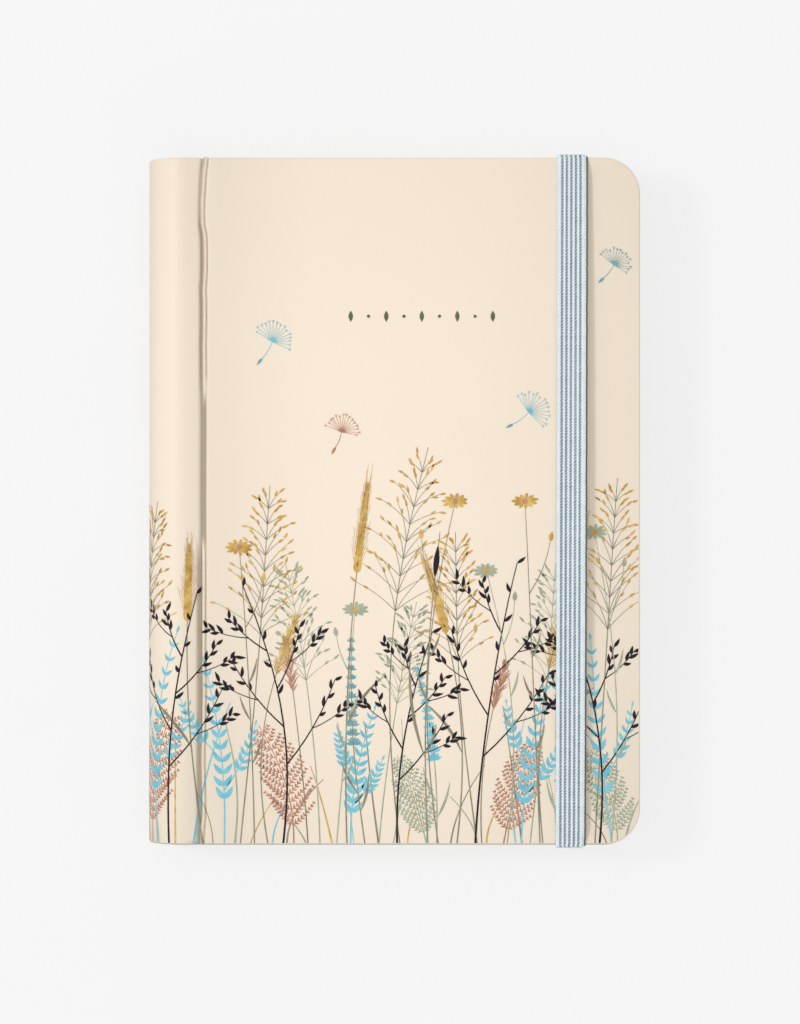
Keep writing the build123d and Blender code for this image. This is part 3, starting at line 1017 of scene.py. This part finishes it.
def seed(art, tint, head, place, size, angle):
    """A drifting seed: a tuft of fine hairs on a thread."""
    line = art.shoot(tint, place, angle - 12, size, 24, 0.2)
    tuft = line[-1]
    art.leaf(head, line[0], angle + 168, 2.2, 0.75)
    for k in range(15):
        turn = angle - 84 + 12 * k
        hair = art.shoot(tint, tuft, turn, size * art.between(0.85, 1.05), art.between(-8, 8), 0.15, 2)
        for way in (-30, 0, 30):
            art.shoot(tint, hair[-1], turn + way, 0.7, 0, 0.12, 1)


def meadow(art, plants, start=0, way=1):
    """Draws plants of each kind at their places: distance from the start, height and lean."""
    for plant, inks, places in plants:
        art.layer += 1
        for s, height, lean in places:
            plant(art, *inks, start + way * s, height, lean)


def front_design():
    """The design over the front cover, the crease and the spine."""
    art = Design(11)
    for k in range(30):
        tint = BLADE_INKS[k % 4]
        blade(art, tint, -38 + 5.1 * k + art.between(-2, 2), art.between(10, 40), art.between(-10, 10))
    meadow(art, (
        (frond, ("copper",), ((23, 34, -9), (77, 30, 9), (-15, 38, 7))),
        (frond, ("sage",), ((58, 26, -8), (107, 28, -8))),
        (panicle, ("sage", "sage"), ((30, 76, -9), (45, 66, 10), (84, 76, 7))),
        (sprig, ("blue",), ((5, 50, -5), (38, 38, 6), (82, 46, 7), (106, 56, -6), (-12, 58, 5))),
        (spike, ("teal", "stem"), ((42, 58, -4), (-27, 52, -4))),
        (spike, ("blue", "sage"), ((60, 50, -5), (92, 38, 5))),
        (foxtail, ("copper", "stem"), ((27, 56, -6), (72, 50, 6))),
        (foxtail, ("gold", "stem"), ((17, 62, 7), (88, 64, 5))),
        (panicle, ("stem", "gold"), ((-17, 92, 4), (9, 96, 8), (51, 106, 7), (71, 84, -6), (101, 98, 6))),
        (ear, ("stem", "gold"), ((37, 94, 5), (65, 74, -7), (93, 84, 5), (0, 78, -4))),
        (twig, ("plum",), ((20, 70, -10), (50, 58, 9), (70, 76, 11), (102, 64, -9), (-9, 68, 7))),
        (reed, ("plum", "stem"), ((58, 84, 3), (-21, 62, -3))),
        (flower, ("sage", "gold", "sage"), ((34, 64, 5), (78, 74, -5), (105, 84, -4))),
        (flower, ("gold", "copper", "stem"), ((13, 80, -4), (61, 92, 4), (87, 92, -4), (-23, 72, 3))),
    ))
    seed(art, "blue", "teal", (15, 37), 5.0, 62)
    seed(art, "blue", "teal", (80, 20), 5.0, 40)
    seed(art, "copper", "copper", (34, 14), 4.2, 72)
    seed(art, "teal", "teal", (103.6, 58), 4.0, 55)
    for k in range(9):
        if k % 2:
            art.disc("olive", (37.9 + 4.6 * k, 47.9), 0.42)
        else:
            art.leaf("olive", (37.9 + 4.6 * k, 46.5), 90, 2.8, 1.15, 0, 1.0)
    return art


def back_design():
    """A sparser stretch of the same meadow for the back cover."""
    art = Design(29)
    first = BACK_CREASE / MM
    for k in range(40):
        tint = BLADE_INKS[k % 4]
        blade(art, tint, first - 3 - 2.8 * k, art.between(10, 40), art.between(-10, 10))
    meadow(art, (
        (panicle, ("stem", "gold"), ((16, 88, 6), (62, 96, -6), (98, 84, 5))),
        (panicle, ("sage", "sage"), ((36, 70, 7), (82, 74, -7))),
        (ear, ("stem", "gold"), ((48, 86, 5), (90, 70, -5))),
        (sprig, ("blue",), ((24, 50, 5), (70, 54, -6), (104, 44, 5))),
        (twig, ("plum",), ((30, 64, 8), (78, 68, -9))),
        (frond, ("copper",), ((9, 34, -8), (54, 30, 8), (88, 32, -8))),
        (flower, ("gold", "copper", "stem"), ((42, 76, 4), (74, 84, -4))),
    ), first, -1)
    return art


PRINT_LIFT = 0.035 * MM
LIFT_STEP = 0.0005 * MM
LIFTS = 7
PRINT_ROOT = 0.012 * MM
PRINT_ROOM = 0.03 * MM
INK_NAMES = list(INKS)


def flat_print(art):
    """The design as one flat mesh in metres of s and y, with each shape's height kept on its points."""
    bm = bmesh.new()
    lift = bm.verts.layers.float.new("lift")
    for number, (tint, left, right, layer) in enumerate(art.strips):
        height = PRINT_LIFT + LIFT_STEP * (layer * LIFTS + number % LIFTS)
        rows = []
        for a, b in zip(left, right):
            pair = [bm.verts.new((p[0] * MM, p[1] * MM, 0)) for p in (a, b)]
            for v in pair:
                v[lift] = height
            rows.append(pair)
        for (a, b), (c, d) in zip(rows, rows[1:]):
            face = bm.faces.new((a, b, d, c))
            face.material_index = INK_NAMES.index(tint)
    return bm, lift


def cut(bm, place, normal, clear=False):
    geometry = bm.verts[:] + bm.edges[:] + bm.faces[:]
    bmesh.ops.bisect_plane(
        bm, geom=geometry, plane_co=place, plane_no=normal, clear_outer=clear, dist=1e-9
    )


def trim_to_cover(bm, fore_s, way):
    """Trims the flat print to the cover's outline, with its rounded corners at the fore-edge."""
    inset = EDGE_ROUND
    reach = HEAD - inset
    for side in (1, -1):
        cut(bm, (0, side * reach, 0), (0, side, 0), True)
    cut(bm, (fore_s - way * inset, 0, 0), (way, 0, 0), True)
    for side in (1, -1):
        centre = Vector((fore_s - way * CORNER, side * (HEAD - CORNER), 0))
        for k in range(1, 8):
            a = math.radians(90 * k / 8)
            out = Vector((way * math.cos(a), side * math.sin(a), 0))
            cut(bm, centre + out * (CORNER - inset), out, True)


def raise_print(bm, lift, low, high, name):
    """The stretch of a flat print from low to high, as thin closed shapes standing on the sheet."""
    part = bm.copy()
    lift = part.verts.layers.float[lift.name]
    gone = [f for f in part.faces if not low < f.calc_center_median().x < high]
    bmesh.ops.delete(part, geom=gone, context="FACES")
    if not part.faces:
        part.free()
        return None
    made = bmesh.ops.extrude_face_region(part, geom=part.faces[:], use_keep_orig=True)["geom"]
    raised = {g for g in made if isinstance(g, bmesh.types.BMVert)}
    for v in part.verts:
        height = v[lift] if v in raised else -PRINT_ROOT
        v.co = sheet_point(v.co.x, v.co.y, height)
    return solid(name, part, [INKS[n] for n in INK_NAMES])


def drop(bm, low, high):
    """Deletes the faces of a flat print between two places."""
    gone = [f for f in bm.faces if low < f.calc_center_median().x < high]
    bmesh.ops.delete(bm, geom=gone, context="FACES")


def print_design(art, name, panel_body, fore_s, way, panel_s):
    """Lays a design on its panel, and on the stretches of the sheet beside it when it reaches them."""
    bm, lift = flat_print(art)
    trim_to_cover(bm, fore_s, way)
    cut(bm, (panel_s, 0, 0), (1, 0, 0))
    ends = sorted((panel_s, fore_s))
    settle(raise_print(bm, lift, *ends, f"{name}_print"), (panel_body,), ends)
    drop(bm, *ends)
    places = []
    for _, span, (steps, _), _ in STRETCHES:
        if way > 0 or span[0] < BACK_CREASE:
            places += [span[0] + (span[1] - span[0]) * k / steps for k in range(steps + 1)]
    parting = (FRONT_PARTING[0] - PRINT_ROOM, FRONT_PARTING[1] + PRINT_ROOM)
    for place in (*places, *parting):
        cut(bm, (place, 0, 0), (1, 0, 0))
    drop(bm, *parting)
    for stretch, span, _, bodies in STRETCHES:
        piece = raise_print(bm, lift, *span, f"{name}_print_{stretch}")
        if piece:
            settle(piece, bodies, span)
    bm.free()


print_design(front_design(), "front", "front_cover", FORE - CREASE_X, 1, PANEL_S)
print_design(
    back_design(), "back", "back_cover", BACK_CREASE - (FORE - CREASE_X), -1, BACK_CREASE - PANEL_S
)


# Leaves, dividers and the rest of the frame's own pieces

LEAVES = 6
LEAF_AIR = 0.018 * MM


def loose_leaves(section, rng):
    """The block of leaves behind a divider as separate sheets, each a little out of line."""
    node = NODES["leaves_" + section]
    low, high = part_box("leaves_" + section)
    pitch = (high.z - low.z) / LEAVES
    bm = bmesh.new()
    for leaf in range(LEAVES):
        before = len(bm.verts)
        bm.from_mesh(node.data)
        bm.verts.ensure_lookup_table()
        shift = Vector((rng.uniform(-0.1, 0.1) * MM, rng.uniform(-0.12, 0.12) * MM, 0))
        for v in bm.verts[before:]:
            top = v.co.z > (low.z + high.z) / 2
            v.co += shift
            v.co.z = low.z + pitch * leaf + (pitch - LEAF_AIR if top else 0)
    bmesh.ops.remove_doubles(bm, verts=bm.verts, dist=1e-7)
    bm.normal_update()
    for face in bm.faces:
        face.material_index = 0 if abs(face.normal.z) > 0.9 else 1
    return new_object("sheets_" + section, bm, (LEAF_FACE, LEAF_EDGE))


def tab_letters(section, front):
    """The letters of a tab, one under the other, as thin print on one of its faces."""
    low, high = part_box("divider_" + section)
    step = (high.y - low.y) / len(SECTIONS)
    curve = bpy.data.curves.new("tab_text", "FONT")
    curve.body = "\n".join(section.upper())
    curve.size = 4.4 * MM if len(section) == 2 else 3.7 * MM
    curve.align_x = curve.align_y = "CENTER"
    curve.space_line = 1.05
    curve.extrude = 0.02 * MM
    curve.resolution_u = 3
    text = placed("tab_text", curve)
    bpy.context.view_layer.update()
    mesh = baked(text)
    bpy.data.objects.remove(text)
    mesh.materials.clear()
    mesh.materials.append(INKS["plum"])
    x = (TAB_START + TAB_TINT + high.x) / 2
    y = high.y - step * (SECTIONS.index(section) + 0.5)
    way, z = (1, high.z) if front else (-1, low.z)
    for v in mesh.vertices:
        v.co = (x + way * v.co.x, y + v.co.y, z + way * v.co.z)
    return placed(f"tab_letters_{section}_{'front' if front else 'back'}", mesh)


rng = random.Random(5)
for section in SECTIONS:
    body = "section_" + section
    sheets = loose_leaves(section, rng)
    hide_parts("leaves_" + section)
    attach(sheets, body)
    for front in (True, False):
        letters = tab_letters(section, front)
        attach(letters, body)


def dress(node, mat):
    """Gives a CAD node a material of this scene."""
    data = NODES[node].data
    data.materials.clear()
    data.materials.append(mat)


for index, section in enumerate(SECTIONS):
    dress("divider_" + section, TAB_CARDS[index % len(TAB_CARDS)])
for node, mat in (
    ("front_endpaper", ENDPAPER),
    ("back_endpaper", ENDPAPER),
    ("binding_strip", CARD),
    ("title_leaf", CARD),
    ("front_board", BOARD),
    ("back_board", BOARD),
    ("twin_loop_wire", WIRE),
):
    dress(node, mat)


# Stage: pale floor, soft light from the left and a camera straight above


def floor():
    """Pale to the eye with a light shadow of the book, and grey to the light that it throws back."""
    m = Shader("floor", (248, 248, 248), 0.9)
    path = m.add("LightPath").outputs
    seen = m.calc("MAXIMUM", path["Is Camera Ray"], path["Is Glossy Ray"])
    seen = m.calc("MAXIMUM", seen, path["Is Transmission Ray"])
    pale = m.mix(m.noise(30.0, 2.0), (246, 246, 246), (247, 247, 247))
    m.color(m.mix(seen, (200, 200, 198), pale))
    glow = m.add("Emission", None, Color=pale, Strength=1.0).outputs[0]
    share = m.calc("MULTIPLY", seen, 0.8)
    lit = m.tree.nodes["Principled BSDF"].outputs[0]
    blend = m.add("MixShader", None, i0=share, i1=lit, i2=glow).outputs[0]
    m.feed(m.tree.nodes["Material Output"].inputs[0], blend)
    bm = bmesh.new()
    bmesh.ops.create_grid(bm, x_segments=2, y_segments=2, size=4.0)
    obj = new_object("floor", bm, (m.mat,))
    obj.location.z = -0.12 * MM


def area_light(name, place, target, size, energy):
    light = bpy.data.lights.new(name, "AREA")
    light.shape = "DISK"
    light.size = size
    light.energy = energy
    obj = placed(name, light)
    obj.location = place
    obj.rotation_euler = (Vector(target) - Vector(place)).to_track_quat("-Z", "Y").to_euler()


def camera():
    """Straight above the book, framed as the photograph: 800 by 1024 pixels over its scale at the cover."""
    distance = 0.85
    frame_width = 207.2 * MM
    aside, below = 1.3 * MM, -2.8 * MM
    data = bpy.data.cameras.new("camera")
    data.sensor_fit = "HORIZONTAL"
    data.sensor_width = 36.0
    data.lens = data.sensor_width * distance / frame_width
    obj = placed("camera", data)
    obj.location = (aside, below, TOP + distance)
    bpy.context.scene.camera = obj


floor()
area_light("key", (-1.0, 0.25, 1.2), (0, 0, 0), 0.28, 7.2)
area_light("fill", (0.1, -0.1, 1.4), (0, 0, 0), 0.9, 2.2)
camera()
world = bpy.data.worlds.new("studio")
world.use_nodes = True
sky = world.node_tree.nodes["Background"].inputs
sky["Color"].default_value = (1, 1, 1, 1)
sky["Strength"].default_value = 0.66
bpy.context.scene.world = world
bpy.context.scene.view_settings.view_transform = "Standard"
